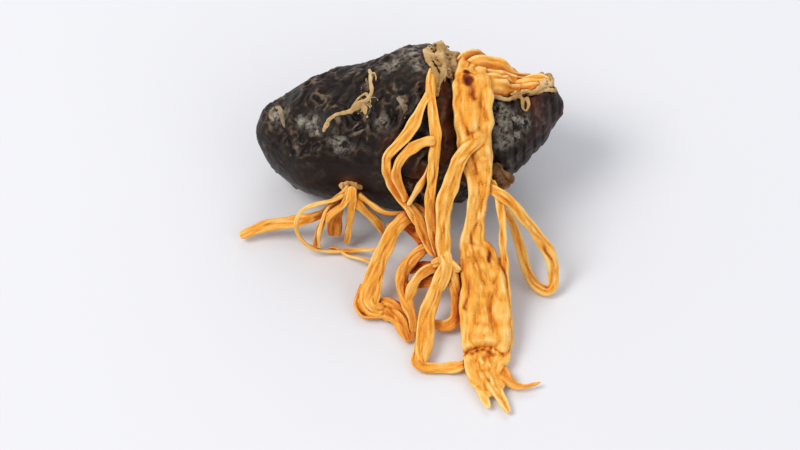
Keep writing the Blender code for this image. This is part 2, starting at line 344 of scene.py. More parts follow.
# fine grooves along the grain
def scoreGrain(shape, depth):
    relief = shape.verts.layers.float["relief"]
    fibre = shape.verts.layers.float_vector["fibre"]
    shape.normal_update()
    for vert in shape.verts:
        grain = vert[fibre]
        groove = noise.noise((grain.x * 3.4, grain.y * 3.4, grain.z * 0.55))
        hair = noise.noise((grain.x * 8.0, grain.y * 8.0, grain.z * 1.1))
        vert.co += vert.normal * depth * (1 - 2.4 * abs(groove) + 0.4 * hair)
        vert.co.z = max(vert.co.z, 0)
        vert[relief] += 0.15 * hair


# where a point is seen from the front
def seenAt(spot):
    return spot - lookFrom * spot.dot(lookFrom)


# hollows and creases pressed in from the front and darkened with painted shade: how deep, how much
# painted shade spreads around each, how flat-bottomed, and a route whose last number is its reach
def pressHollows(shape, hollows):
    relief = shape.verts.layers.float["relief"]
    blush = shape.verts.layers.float["blush"]
    shape.normal_update()
    fronts = [(vert, seenAt(vert.co + 0.16 * noise.noise_vector(vert.co * 1.3)), vert.co.dot(lookFrom))
              for vert in shape.verts if vert.normal.dot(lookFrom) > 0.05]
    for deep, shadeAround, sharp, rows in hollows:
        route = Route(rows, 80)
        count = int(route.length / 0.08)
        spots = [route.at(route.length * number / count) for number in range(count + 1)]
        tree = KDTree(len(spots))
        for number, spot in enumerate(spots):
            tree.insert(seenAt(spot.xyz), number)
        tree.balance()
        for vert, seen, depth in fronts:
            _, number, distance = tree.find(seen)
            gap = distance / spots[number].w
            if gap > 2.2 or abs(depth - spots[number].xyz.dot(lookFrom)) > 1.6:
                continue
            share = math.exp(-gap ** sharp)
            vert.co -= lookFrom * deep * share
            # painted shade: lower relief in the dent and a deeper colour around it
            vert[relief] -= 0.9 * share * min(deep / 0.3, 1)
            vert[blush] -= shadeAround * math.exp(-(gap / 1.5) ** 2)


def finishPiece(name, shape, material, nodes):
    bmesh.ops.recalc_face_normals(shape, faces=shape.faces)
    bmesh.ops.transform(shape, matrix=Matrix.Scale(mm, 4), verts=shape.verts)
    mesh = bpy.data.meshes.new(name)
    shape.to_mesh(mesh)
    shape.free()
    mesh.materials.append(material)
    mesh.shade_smooth()
    piece = bpy.data.objects.new(name, mesh)
    bpy.context.scene.collection.objects.link(piece)
    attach(piece, "root")
    if nodes:
        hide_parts(*nodes)
    pieces.append(piece)


# adds a finished small shape to a larger one
def joinTo(whole, part):
    mesh = bpy.data.meshes.new("part")
    part.to_mesh(mesh)
    part.free()
    whole.from_mesh(mesh)
    bpy.data.meshes.remove(mesh)


# one strand: a circle extruded along its route, each ring flattened, cupped, ridged and twisted
def addStrand(whole, look, path, seed):
    shape = newShape()
    route = Route(path)
    sides = look["sides"]
    steps = max(int(route.length / look["spacing"]), 8)
    relief = shape.verts.layers.float["relief"]
    blush = shape.verts.layers.float["blush"]
    fibre = shape.verts.layers.float_vector["fibre"]
    cap = bmesh.ops.create_circle(shape, cap_ends=True, radius=1, segments=sides)["verts"][0].link_faces[0]
    drift = seed * 17.3
    for step in range(steps + 1):
        along = route.length * step / steps
        row, ahead, side, _ = frameAt(route, along)
        turn = math.radians(look["twist"]) * 2 * noise.noise((along * 0.28, drift, 1))
        side.rotate(Quaternion(ahead, turn))
        out = side.cross(ahead)
        width = row.w * (1 + look["wobble"] * 2 * noise.noise((along * 0.75, drift, 4)))
        width *= 1 + look["flare"] * math.exp(-(along / 0.7) ** 2)
        reach = 0.5 * row.w
        nose = min((along + 0.02) / (reach * 0.8), 1)
        tail = min((route.length - along + 0.02) / (reach * look["tip"]), 1)
        ends = math.sqrt(max(1 - (1 - nose) ** 2, 0)) * math.sqrt(max(1 - (1 - tail) ** 2, 0))
        halfWidth = width / 2 * ends
        halfThick = halfWidth * look["flat"] * (1 + 0.5 * noise.noise((along * 0.9, drift, 8)))
        curls = (noise.noise((along * 0.9, drift, 21)), noise.noise((along * 0.9, drift, 25)))
        if step:
            cap = bmesh.ops.extrude_discrete_faces(shape, faces=[cap])["faces"][0]
        for number, vert in enumerate(cap.verts):
            angle = 2 * math.pi * number / sides
            c, s = math.cos(angle), math.sin(angle)
            squareC = math.copysign(abs(c) ** 0.85, c)
            squareS = math.copysign(abs(s) ** 0.8, s)
            lane = c * look["ridges"] * 0.5 + (7 if s > 0 else 0)
            wander = 1.1 * noise.noise((along * 0.45, drift, lane * 0.2))
            folds = 1 - 2.8 * abs(noise.noise((lane + wander, along * 0.2, drift + 9)))
            lump = noise.noise((c * 0.9, s * 0.9 + drift, along * 0.6))
            push = (look["depth"] * folds + look["lumps"] * lump) * min(1, row.w / 1.1) * ends
            curl = curls[c > 0] * c * c * look["ruffle"] * row.w
            cup = look["cup"] * halfWidth * (c * c - 0.5) + curl
            place = row.xyz + side * (squareC * halfWidth) + out * (squareS * halfThick + cup)
            place += (side * c * 0.5 + out * s).normalized() * push
            place.z = max(place.z, 0)
            vert.co = place
            vert[relief] = 0.5 + 0.4 * folds + 0.4 * lump
            vert[blush] = look["blush"]
            vert[fibre] = Vector((c * row.w * 0.5 + drift * 0.37, s * row.w * 0.5 + drift, along))
    closeEnds(shape)
    joinTo(whole, shape)


# a ribbon is a few ropes that lie side by side, wander and melt together
def addRibbon(shape, look, path, seed):
    route = Route(path)
    count = look["ropes"]
    share = look["ropeShare"] if count > 1 else 1
    for rope in range(count):
        across = (2 * rope / (count - 1) - 1) * (1 - share) if count > 1 else 0
        bow = look["bow"] * (1 - across * across / max((1 - share) ** 2, 0.01))
        length = route.length - bow
        stops = max(int(length / 0.6), 4)
        rows = []
        for stop in range(stops + 1):
            along = length * stop / stops
            row, _, side, out = frameAt(route, along)
            pace = along * look["stray"]
            stray = look["wander"] * noise.noise((pace, seed * 5.7 + rope * 3.3, 2)) * (count > 1)
            lift = look["lift"] * noise.noise((pace, seed * 2.9 + rope * 4.1, 6)) * row.w
            place = row.xyz + side * ((across + stray) * 0.5 * row.w) + out * lift
            rows.append((*place, row.w * share * (1 + 0.25 * noise.noise((along * 0.4, rope * 9, seed)))))
        addStrand(shape, look, rows, seed * 7 + rope)


# the pupa

pupaLook = {"rings": 220, "sides": 300, "dents": 0.34, "folds": 0.22, "creases": 0.17, "pleats": 0.085,
            "fine": 0.035, "segments": 0.2, "sunk": 1.15}
pupaSections = [Vector(row) for row in (
    (-13.7, 1.0, 6.0, 0.6), (-12.9, 1.1, 5.8, 2.4), (-11.0, 0.8, 5.6, 4.1), (-8.5, 0.6, 5.9, 5.5),
    (-4.5, 0.6, 6.3, 6.2), (-2.0, 0.5, 6.7, 6.95), (1.0, 0.7, 7.0, 7.5), (5.0, 1.4, 6.6, 6.8),
    (7.2, 1.3, 6.9, 6.2), (9.3, 1.2, 7.4, 5.2), (12.3, 1.8, 8.6, 3.0), (13.8, 1.5, 9.0, 0.6))]


def sectionAt(rows, x):
    low, high = 0.0, 1.0
    for _ in range(24):
        middle = (low + high) / 2
        if through(rows, middle)[0] < x:
            low = middle
        else:
            high = middle
    return through(rows, low)


sectionTable = {}


def onSection(x):
    key = round(x, 3)
    if key not in sectionTable:
        sectionTable[key] = sectionAt(pupaSections, x)
    return sectionTable[key]


def onPupa(x, angle, lift):
    _, back, height, radius = onSection(x)
    turn = math.radians(angle)
    reach = radius + lift
    return Vector((x, back - reach * math.sin(turn), height + reach * math.cos(turn)))


def softStep(value, low, high):
    share = min(max((value - low) / (high - low), 0), 1)
    return share * share * (3 - 2 * share)


# how smooth the skin is: 1 on the wing case, 0 elsewhere
def wingAt(x, angle):
    across = softStep(angle, 50, 68) * (1 - softStep(angle, 130, 142))
    return softStep(x, -12.8, -11.0) * (1 - softStep(x, -2.5, 1.0)) * across


def creased(spot, sharp):
    return 1 - sharp * abs(noise.noise(spot))


# height of the wrinkled skin over the plain sections, how light it is there, lighter on the ridges of the
# folds as a painted highlight, and how smooth it is there
def skinRelief(x, angle):
    base = onPupa(x, angle, 0)
    wing = wingAt(x, angle)
    tail = softStep(x, 7.2, 9.0)
    bent = base + 1.1 * noise.noise_vector(base / 2.2)
    dents = noise.noise(base / 3.4 + Vector((3, 7, 1)))
    folds = creased(Vector((bent.x * 0.50, bent.y * 0.34, bent.z * 0.34)), 3.0)
    creases = creased(bent * 0.85 + Vector((11, 0, 5)), 3.0)
    pleats = creased(bent * 1.7 + Vector((2, 8, 5)), 2.8)
    fine = noise.noise(base * 3.4) + 0.5 * noise.noise(base * 7.0)
    ring = (x - 6.6 - 0.3 * math.sin(math.radians(angle))) % 1.7 / 1.7
    groove = -math.exp(-((ring - 0.5) / 0.10) ** 2) + 0.5 * (0.5 - ring)
    strength = 0.75 + 0.9 * noise.noise(base / 2.8 + Vector((20, 4, 9)))
    rough = (1 - 0.88 * wing) * (1 - 0.5 * tail) * min(max(strength, 0.3), 1.3)
    lift = pupaLook["dents"] * dents * (1 - 0.5 * wing)
    lift += rough * (pupaLook["folds"] * folds + pupaLook["creases"] * creases + pupaLook["pleats"] * pleats)
    lift += pupaLook["fine"] * fine * rough + pupaLook["segments"] * tail * groove - 0.24
    underMat = softStep(x, 2.2, 4.8) * (1 - softStep(x, 9.8, 13.2))
    lift -= pupaLook["sunk"] * underMat * softStep(angle, -95, -55) * (1 - softStep(angle, -8, 18))
    # painted highlight: the tone rises on the ridges of the folds, creases and pleats
    tone = 0.45 + rough * (0.22 * folds + 0.18 * creases + 0.2 * pleats + 0.2 * fine)
    return lift, tone, wing


# soft round patches on the skin: x, angle and reach
def patchAt(patches, x, angle):
    spot = onPupa(x, angle, 0)
    return max(math.exp(-((spot - onPupa(*patch, 0)).length / reach) ** 2) for *patch, reach in patches)


# orange-brown tint on the skin near the strands: partly the skin's own stain, partly painted reflection of
# the orange strands
stainsAndReflection = ((-0.9, 52, 1.3), (2.9, 8, 1.3), (3.2, 22, 1.1), (3.4, 40, 1.5), (3.6, 58, 1.5), (1.4, 72, 1.2),
          (5.0, 72, 1.6), (-5.2, 86, 0.8), (10.8, 22, 0.7))
# pale grey-cream patches on the skin: partly a film of mycelium, partly a painted highlight
filmAndHighlightSpots = ((-8.7, 23, 0.7), (-8.3, 31, 0.5), (-9.6, 20, 0.5), (8.3, 27, 0.8), (8.3, 36, 0.8),
          (8.4, 45, 0.9), (8.4, 56, 0.8), (9.4, 36, 0.8), (10.3, 44, 0.7), (9.5, 54, 0.8),
          (-11.8, 2, 1.0), (-2.4, 30, 0.6), (0.4, -30, 1.2), (-6.2, 46, 0.8), (-1.5, -20, 0.9),
          (1.2, -12, 0.9))


def makeShell():
    material, tree, shader = blankMaterial("pupaShell")
    relief, shade, wing, tail = (attribute(tree, name) for name in ("relief", "shade", "wing", "tail"))
    place = addNode(tree, "ShaderNodeTexCoord").outputs["Object"]
    patches = noiseAt(tree, place, 640.0, 5.0, 0.6)
    speck = noiseAt(tree, place, 2100.0, 4.0, 0.65)
    tone = mathNode(tree, "MULTIPLY_ADD", speck, 0.4, relief)
    tone = mathNode(tree, "MULTIPLY_ADD", patches, 0.9, tone)
    # the skin's own near-black with mottling; high tone on the ridges is a painted highlight and low tone in
    # the creases a painted shade
    colour = ramp(tree, spread(tree, tone, 0.75, 1.75), [
        (0.0, (0.0060, 0.0022, 0.0010)), (0.48, (0.0120, 0.0058, 0.0034)), (0.74, (0.036, 0.0205, 0.0115)),
        (1.0, (0.140, 0.095, 0.062))])
    # painted highlight on raised skin, broken into patches that also read as dusty mottling
    dustAndHighlight = mathNode(tree, "MULTIPLY", spread(tree, patches, 0.53, 0.64), spread(tree, relief, 0.55, 0.85))
    colour = mixColour(tree, mathNode(tree, "MULTIPLY", dustAndHighlight, 0.75), colour, (0.19, 0.133, 0.084))
    maroon = mathNode(tree, "MULTIPLY", tail, spread(tree, patches, 0.40, 0.62, 0.0, 0.7))
    colour = mixColour(tree, maroon, colour, (0.062, 0.026, 0.026))
    # mycelium film and painted highlight: pale grey-cream in speckled patches
    filmAndHighlight = mathNode(tree, "MULTIPLY", attribute(tree, "filmAndHighlight"), spread(tree, speck, 0.42, 0.62))
    colour = mixColour(tree, mathNode(tree, "MULTIPLY", filmAndHighlight, 0.8), colour, (0.42, 0.37, 0.30))
    # orange-brown tint near the strands: partly stain, partly painted reflection of the orange strands
    stainAndReflection = mathNode(tree, "MULTIPLY", attribute(tree, "blush"), spread(tree, patches, 0.3, 0.6, 0.5, 1.0))
    colour = mixColour(tree, stainAndReflection, colour, (0.13, 0.032, 0.006))
    # painted shade: the skin darkens where the shade attribute finds it shut in under strands
    shadeDarkened = mixColour(tree, 1.0, colour, (0.25, 0.16, 0.12), "MULTIPLY")
    colour = mixColour(tree, spread(tree, shade, 0.25, 0.8), colour, shadeDarkened)
    tree.links.new(colour, shader.inputs["Base Color"])
    rough = mathNode(tree, "MULTIPLY_ADD", wing, -0.08, spread(tree, speck, 0.3, 0.7, 0.36, 0.56))
    tree.links.new(rough, shader.inputs["Roughness"])
    veins = noiseAt(tree, place, 1300.0, 3.0)
    addBump(tree, shader, mathNode(tree, "MULTIPLY_ADD", speck, 0.5, veins), 0.5, 0.00012)
    setShader(shader, {"Specular IOR Level": 0.17})
    return material


def makePupa():
    shape = newShape()
    relief = shape.verts.layers.float["relief"]
    blush = shape.verts.layers.float["blush"]
    wingLayer = shape.verts.layers.float.new("wing")
    tailLayer = shape.verts.layers.float.new("tail")
    filmAndHighlightLayer = shape.verts.layers.float.new("filmAndHighlight")
    sides = pupaLook["sides"]
    cap = bmesh.ops.create_circle(shape, cap_ends=True, radius=1, segments=sides)["verts"][0].link_faces[0]
    first, last = pupaSections[0][0], pupaSections[-1][0]
    endSteps = (0.06, 0.25, 0.45, 0.65, 0.85)   # how far open each ring of a rounded end is
    rings = [(0.0, closing) for closing in endSteps]
    for number in range(pupaLook["rings"]):
        even = number / (pupaLook["rings"] - 1)
        rings.append((0.6 * even + 0.4 * (1 - math.cos(math.pi * even)) / 2, 1.0))
    rings += [(1.0, closing) for closing in reversed(endSteps)]
    for number, (share, closing) in enumerate(rings):
        x = first + (last - first) * share
        if number:
            cap = bmesh.ops.extrude_discrete_faces(shape, faces=[cap])["faces"][0]
        ends = softStep(share, 0, 0.02) * (1 - softStep(share, 0.98, 1))
        _, back, height, _ = onSection(x)
        middle = Vector((x + 0.1 * (1 - closing) * (1 if share else -1), back, height))
        for side, vert in enumerate(cap.verts):
            angle = 360 * side / sides
            angle = angle if angle <= 180 else angle - 360
            lift, tone, wing = skinRelief(x, angle)
            vert.co = middle.lerp(onPupa(x, angle, lift * ends), closing)
            vert.co += 0.08 * (1 - ends) * noise.noise_vector(vert.co * 1.7)
            vert.co.z = max(vert.co.z, 0)
            vert[relief] = tone
            vert[blush] = patchAt(stainsAndReflection, x, angle)
            vert[filmAndHighlightLayer] = patchAt(filmAndHighlightSpots, x, angle)
            vert[wingLayer] = wing
            vert[tailLayer] = softStep(x, 8.5, 12.0)
    closeEnds(shape)
    readRelief(shape, 14, 0.10)
    finishPiece("pupa_skin", shape, makeShell(), ["pupa"])


makePupa()
print("pupa made")


# mycelium: crusts on the skin, and fibres that creep over them
def makeFelt(name, tones):
    pale, olive, soilAndShade = (tones[key] for key in ("pale", "olive", "soilAndShade"))
    material, tree, shader = blankMaterial(name)
    place = addNode(tree, "ShaderNodeTexCoord").outputs["Object"]
    relief, shade = attribute(tree, "relief"), attribute(tree, "shade")
    patches = noiseAt(tree, place, 620.0, 4.0)
    felt = noiseAt(tree, place, 3200.0, 5.0, 0.7, 1.2)
    cream = mixColour(tree, spread(tree, patches, 0.40, 0.62), olive, pale)
    # low places turn dark brown: partly the felt's own soil-brown, partly painted shade in its recesses
    colour = mixColour(tree, spread(tree, mathNode(tree, "ADD", felt, relief), 0.55, 1.0), soilAndShade, cream)
    tone = mathNode(tree, "MULTIPLY_ADD", felt, 0.5, relief)
    # painted shade: where relief and felt are low, the colour is darkened towards brown
    hollow = mixColour(tree, 1.0, colour, (0.42, 0.20, 0.07), "MULTIPLY")
    colour = mixColour(tree, spread(tree, tone, *tones["shadow"]), hollow, colour)
    # painted shade: the felt darkens to brown where the shade attribute finds it shut in
    shadeDarkened = mixColour(tree, 1.0, colour, (0.16, 0.045, 0.015), "MULTIPLY")
    colour = mixColour(tree, spread(tree, shade, 0.3, 0.85), colour, shadeDarkened)
    tree.links.new(colour, shader.inputs["Base Color"])
    addBump(tree, shader, felt, 0.7, 0.00012)
    setShader(shader, {"Roughness": 0.82, "Specular IOR Level": 0.25, "Subsurface Weight": 0.15,
                       "Subsurface Radius": (1.0, 0.55, 0.25), "Subsurface Scale": 0.0005})
    return material


# between the two tones of shadow, felt turns from shaded to its own colour
feltBase = {"soilAndShade": (0.16, 0.09, 0.035), "shadow": (0.35, 0.75)}
feltTones = {
    "matFelt": {**feltBase, "pale": (0.74, 0.51, 0.24), "olive": (0.44, 0.25, 0.085)},
    "brownFelt": {**feltBase, "pale": (0.42, 0.25, 0.11), "olive": (0.16, 0.075, 0.025)},
    "padFelt": {**feltBase, "pale": (0.72, 0.42, 0.15), "olive": (0.44, 0.20, 0.05)},
    "paleFelt": {"pale": (0.72, 0.51, 0.25), "olive": (0.50, 0.30, 0.11), "soilAndShade": (0.30, 0.16, 0.06),
                 "shadow": (0.0, 0.55)},
    "dustFelt": {"pale": (0.42, 0.33, 0.21), "olive": (0.24, 0.17, 0.10), "soilAndShade": (0.08, 0.05, 0.03),
                 "shadow": (0.0, 0.55)},
}
felts = {name: makeFelt(name, tones) for name, tones in feltTones.items()}

# an outline's rows are x, and the angles of its front and back edges
crusts = {
    "mycelium_mat": {
        "outline": ((1.9, -18, -36), (2.7, -4, -50), (4.5, 2, -58), (7.2, -2, -66), (8.4, 8, -67),
                    (9.3, 12, -66), (10.4, 12, -62), (11.8, 8, -52), (12.9, -6, -34)),
        "rings": 110, "sides": 150, "thick": 0.38, "lumps": 0.24, "ragged": 9.0, "taper": 1.1,
        "voxel": 0.075, "rough": 0.07, "rounds": 8, "proud": 0.08},
    "mycelium_pad": {
        "outline": ((-6.3, 91, 89), (-5.8, 96, 85), (-5.2, 98, 83), (-4.6, 96, 85), (-4.1, 91, 89)),
        "rings": 44, "sides": 60, "thick": 0.40, "lumps": 0.3, "ragged": 2.5, "taper": 0.9,
        "voxel": 0.07, "rough": 0.08, "rounds": 8, "proud": 0.09},
}


def crustLift(look, x, angle):
    spot = onPupa(x, angle, 0)
    folds = 1 - 2.6 * abs(noise.noise(spot * 0.55 + Vector((4, 9, 2))))
    knots = 1 - 2.6 * abs(noise.noise(spot * 1.3 + 0.5 * noise.noise_vector(spot)))
    fine = noise.noise(spot * 3.1)
    lift = look["lumps"] * (0.55 * folds + 0.38 * knots + 0.16 * fine)
    return lift, 0.5 + 0.3 * folds + 0.25 * knots + 0.3 * fine


def makeCrust(look):
    shape = newShape()
    relief = shape.verts.layers.float["relief"]
    outline = [Vector(row) for row in look["outline"]]
    first, last = outline[0][0], outline[-1][0]
    sides = look["sides"]
    cap = bmesh.ops.create_circle(shape, cap_ends=True, radius=1, segments=sides)["verts"][0].link_faces[0]
    for number in range(look["rings"]):
        share = number / (look["rings"] - 1)
        x = first + (last - first) * share
        _, front, back = sectionAt(outline, x)
        radius = onSection(x)[3]
        front += look["ragged"] * (noise.noise((x * 0.9, 3, 1)) + 0.7 * noise.noise((x * 2.7, 5, 2)))
        back += look["ragged"] * (noise.noise((x * 0.9, 8, 4)) + 0.7 * noise.noise((x * 2.7, 6, 6)))
        if number:
            cap = bmesh.ops.extrude_discrete_faces(shape, faces=[cap])["faces"][0]
        for side, vert in enumerate(cap.verts):
            turn = 2 * side / sides
            over = turn < 1
            across = turn if over else 2 - turn
            across = across * across * (3 - 2 * across) * 0.35 + across * 0.65
            angle = front + (back - front) * across
            inward = min(across, 1 - across) * math.radians(abs(front - back)) * radius
            inward = min(inward, (x - first) * 1.3, (last - x) * 1.3)
            rise = math.sqrt(softStep(inward, -0.05, look["taper"]))
            skin = skinRelief(x, angle)[0]
            lift, tone = crustLift(look, x, angle)
            lift = (look["thick"] + lift) * rise - 0.12 * (1 - rise) if over else -0.3
            wiggle = 0.12 * noise.noise((angle * 0.1, x, 12)) if 0 < number < look["rings"] - 1 else 0
            vert.co = onPupa(x + wiggle, angle, skin + lift)
            vert[relief] = tone
    closeEnds(shape)
    return shape


# rows on the skin are x, angle, height above the skin and width
def overSkin(rows):
    path = []
    for x, angle, lift, width in rows:
        spot = onPupa(x, angle, skinRelief(x, angle)[0] + lift)
        path.append((*spot, width))
    return path


fibreLook = {"sides": 10, "spacing": 0.12, "flat": 0.7, "ridges": 2, "depth": 0.03, "lumps": 0.1,
             "cup": 0.0, "wobble": 0.35, "twist": 20, "flare": 0.0, "ruffle": 0.0, "tip": 1.2,
             "blush": 0.0}
skinThreads = {
    "cream_vein": (
        (-3.55, -24, 0.0, 0.25), (-3.4, -14, 0.05, 0.36), (-3.45, -6, 0.05, 0.3), (-3.3, 2, 0.06, 0.42),
        (-3.6, 8, 0.06, 0.38), (-4.1, 12, 0.08, 0.7), (-4.7, 15, 0.08, 0.8), (-5.3, 17, 0.06, 0.5),
        (-5.9, 18, 0.05, 0.36), (-6.6, 20, 0.05, 0.34), (-7.2, 24, 0.04, 0.4), (-7.5, 30, 0.03, 0.42),
        (-7.6, 34, 0.0, 0.25)),
    "vein_branch": (
        (-3.5, 8, 0.02, 0.2), (-3.9, 3, 0.05, 0.24), (-4.5, 7, 0.06, 0.24), (-5.0, 14, 0.05, 0.2)),
    "vein_spur": ((-4.2, 13, 0.03, 0.3), (-3.9, 19, 0.04, 0.28), (-3.7, 25, 0.0, 0.15)),
    "pale_ring_left": (
        (-12.0, -12, 0.0, 0.3), (-12.3, -4, 0.02, 0.5), (-12.35, 5, 0.02, 0.5), (-12.1, 14, 0.0, 0.3)),
    "pale_ring_right": (
        (-12.0, -12, 0.0, 0.3), (-11.6, -6, 0.02, 0.45), (-11.4, 6, 0.02, 0.5), (-11.2, 17, 0.02, 0.4),
        (-11.1, 25, 0.0, 0.2)),
    "pale_curl": (
        (-1.0, 14, 0.0, 0.3), (-0.6, 18, 0.04, 0.5), (-0.35, 23, 0.04, 0.5), (-0.4, 30, 0.0, 0.25)),
}
# flesh that spreads over the mat and runs down into the trunk
matFlows = (
    ((12.7, -16, 0.1, 1.0), (11.4, -16, 0.2, 1.7), (9.9, -15, 0.24, 2.2), (8.3, -10, 0.3, 2.6),
     (7.0, -3, 0.4, 2.6), (6.0, 8, 0.4, 2.0)),
    ((12.2, -32, 0.0, 1.0), (10.8, -33, 0.08, 1.8), (9.2, -32, 0.15, 2.3), (7.4, -26, 0.25, 2.7),
     (6.2, -16, 0.4, 2.6), (5.6, -2, 0.4, 2.0)),
    ((9.8, -52, -0.1, 1.6), (7.6, -47, 0.0, 2.3), (6.1, -38, 0.2, 2.5), (5.3, -22, 0.35, 2.3),
     (5.1, -5, 0.4, 1.8)),
    ((12.6, -1, 0.1, 0.8), (11.3, 1, 0.22, 1.3), (10.0, 3, 0.2, 1.6), (8.8, 5, 0.28, 1.8),
     (7.7, 7, 0.35, 1.9), (6.6, 14, 0.35, 1.4)),
    ((12.8, -9, 0.12, 0.9), (11.4, -8, 0.24, 1.5), (9.6, -6, 0.2, 2.1), (8.4, -2, 0.28, 2.4),
     (7.3, 3, 0.35, 2.3), (6.3, 12, 0.35, 1.7)),
    ((10.8, -46, -0.1, 1.2), (8.9, -42, 0.0, 2.1), (7.3, -37, 0.1, 2.3), (6.1, -27, 0.3, 2.2)),
    ((4.9, -52, 0.1, 1.2), (4.6, -36, 0.2, 1.4), (4.5, -20, 0.3, 1.5), (4.7, -4, 0.4, 1.5),
     (4.8, 10, 0.3, 1.3)),
)
flowLook = {"sides": 26, "spacing": 0.16, "flat": 0.27, "ridges": 8, "depth": 0.07, "lumps": 0.1,
            "cup": 0.0, "wobble": 0.2, "twist": 14, "flare": 0.0, "ruffle": 0.1, "tip": 0.9, "blush": 0.8}
matRims = {
    "mat_front_rim": (
        (7.3, 14, 0.1, 0.2), (7.9, 15, 0.25, 0.3), (8.8, 15, 0.25, 0.3), (9.6, 12, 0.25, 0.3),
        (10.05, 14, 0.2, 0.36), (10.15, 21, 0.1, 0.40), (10.15, 27, 0.08, 0.36), (10.4, 31, 0.06, 0.34),
        (10.65, 27, 0.08, 0.34), (10.65, 21, 0.1, 0.36), (10.45, 15, 0.2, 0.3)),
    "mat_tail_rim": (
        (10.6, 9, 0.2, 0.3), (11.4, 9, 0.22, 0.34), (12.2, 8, 0.2, 0.34), (12.8, 2, 0.18, 0.3),
        (13.1, -10, 0.1, 0.28), (13.0, -24, 0.05, 0.25)),
    "mat_tail_vein": (
        (10.8, -8, 0.3, 0.3), (11.5, -4, 0.2, 0.35), (12.1, -8, 0.15, 0.3), (12.4, -18, 0.12, 0.3),
        (12.0, -30, 0.15, 0.3), (11.2, -38, 0.2, 0.3)),
    "mat_head_rim": (
        (1.6, -32, 0.1, 0.35), (1.5, -22, 0.35, 0.5), (1.8, -12, 0.4, 0.5), (2.3, -2, 0.4, 0.45),
        (2.35, 8, 0.3, 0.45), (2.2, 17, 0.2, 0.4)),
    "mat_head_fold": (
        (2.6, -46, 0.4, 0.4), (2.9, -32, 0.65, 0.6), (2.8, -18, 0.65, 0.65), (3.1, -6, 0.6, 0.55),
        (2.8, 6, 0.45, 0.5), (2.4, 16, 0.25, 0.4)),
    "mat_top_fold": (
        (4.2, -52, 0.4, 0.4), (4.3, -38, 0.75, 0.65), (4.0, -22, 0.75, 0.6), (4.3, -10, 0.6, 0.5)),
}


def straysOnMat(count, seed):
    dice = random.Random(seed)
    table = []
    look = crusts["mycelium_mat"]
    outline = [Vector(row) for row in look["outline"]]
    while len(table) < count:
        x = dice.choice((dice.uniform(1.7, 4.0), dice.uniform(4.0, 10.0), dice.uniform(10.0, 12.9)))
        _, front, back = sectionAt(outline, x)
        angle = dice.uniform(front + 3, back)
        heading = dice.uniform(0, 2 * math.pi)
        width = dice.choice((0.09, 0.11, 0.14, 0.2))
        rows = []
        for _ in range(dice.randint(5, 9)):
            rows.append((x, angle, look["thick"] + crustLift(look, x, angle)[0], width))
            heading += dice.uniform(-0.9, 0.9)
            radius = onSection(x)[3]
            x = min(max(x + 0.42 * math.cos(heading), 1.6), 12.9)
            angle += math.degrees(0.42 * math.sin(heading) / radius)
            _, front, back = sectionAt(outline, x)
            angle = min(max(angle, back + 3), front - 2)
        table.append(rows)
    return table


# matted, uneven felt
def roughen(shape, depth):
    relief = shape.verts.layers.float["relief"]
    shape.normal_update()
    for vert in shape.verts:
        bent = vert.co + 0.25 * noise.noise_vector(vert.co * 1.6)
        knot = 1 - 2.4 * abs(noise.noise(bent * 1.25))
        hair = noise.noise(bent * 3.2)
        vert.co += vert.normal * depth * (knot + 0.45 * hair - 0.3)
        vert[relief] += 0.2 * hair


# felt is melted, roughened and finished in one way
def finishFelt(name, shape, look, felt, nodes):
    shape = fuse(shape, look["voxel"])
    roughen(shape, look["rough"])
    if "hollows" in look:
        pressHollows(shape, look["hollows"])
    readRelief(shape, look["rounds"], look["proud"])
    finishPiece(name, shape, felts[felt], nodes)


def makeMat():
    shape = makeCrust(crusts["mycelium_mat"])
    for number, rows in enumerate(matRims.values()):
        addStrand(shape, fibreLook, overSkin(rows), 70 + number)
    for number, rows in enumerate(straysOnMat(130, 11)):
        addStrand(shape, fibreLook, overSkin(rows), 110 + number)
    finishFelt("mycelium_mat_felt", shape, crusts["mycelium_mat"], "matFelt", ["mycelium_mat"])


def makePad():
    look = crusts["mycelium_pad"]
    finishFelt("mycelium_pad_felt", makeCrust(look), look, "padFelt", ["mycelium_pad"])


# a soft brown lump below the tail
budLook = {"sides": 40, "spacing": 0.08, "flat": 0.75, "ridges": 6, "depth": 0.14, "lumps": 0.32, "cup": 0.1,
           "wobble": 0.3, "twist": 20, "flare": 0.0, "ruffle": 0.1, "tip": 0.9, "blush": 0.0,
           "voxel": 0.06, "rough": 0.10, "rounds": 6, "proud": 0.09,
           "hollows": (
               (0.4, 0.0, 2.6, ((7.6, -5.8, 8.3, 0.3), (7.9, -6.0, 8.0, 0.42), (8.2, -6.1, 7.7, 0.3))),)}
budRoute = ((7.6, -4.8, 9.0, 0.9), (7.8, -5.2, 8.5, 1.4), (8.1, -5.4, 7.8, 1.6), (8.5, -5.4, 7.0, 1.3),
            (8.8, -5.2, 6.4, 0.6))


def makeBud():
    shape = newShape()
    addStrand(shape, budLook, budRoute, 7)
    finishFelt("mycelium_bud_felt", shape, budLook, "brownFelt", ["mycelium_bud"])


# a vein has short hairs that curl away over the skin, a dusty mark has none
markLook = {**fibreLook, "flat": 0.28, "spacing": 0.07, "hairs": 0, "voxel": 0.04, "rough": 0.045,
            "rounds": 4, "proud": 0.05}
veinLook = {**markLook, "flat": 0.4, "hairs": 6}


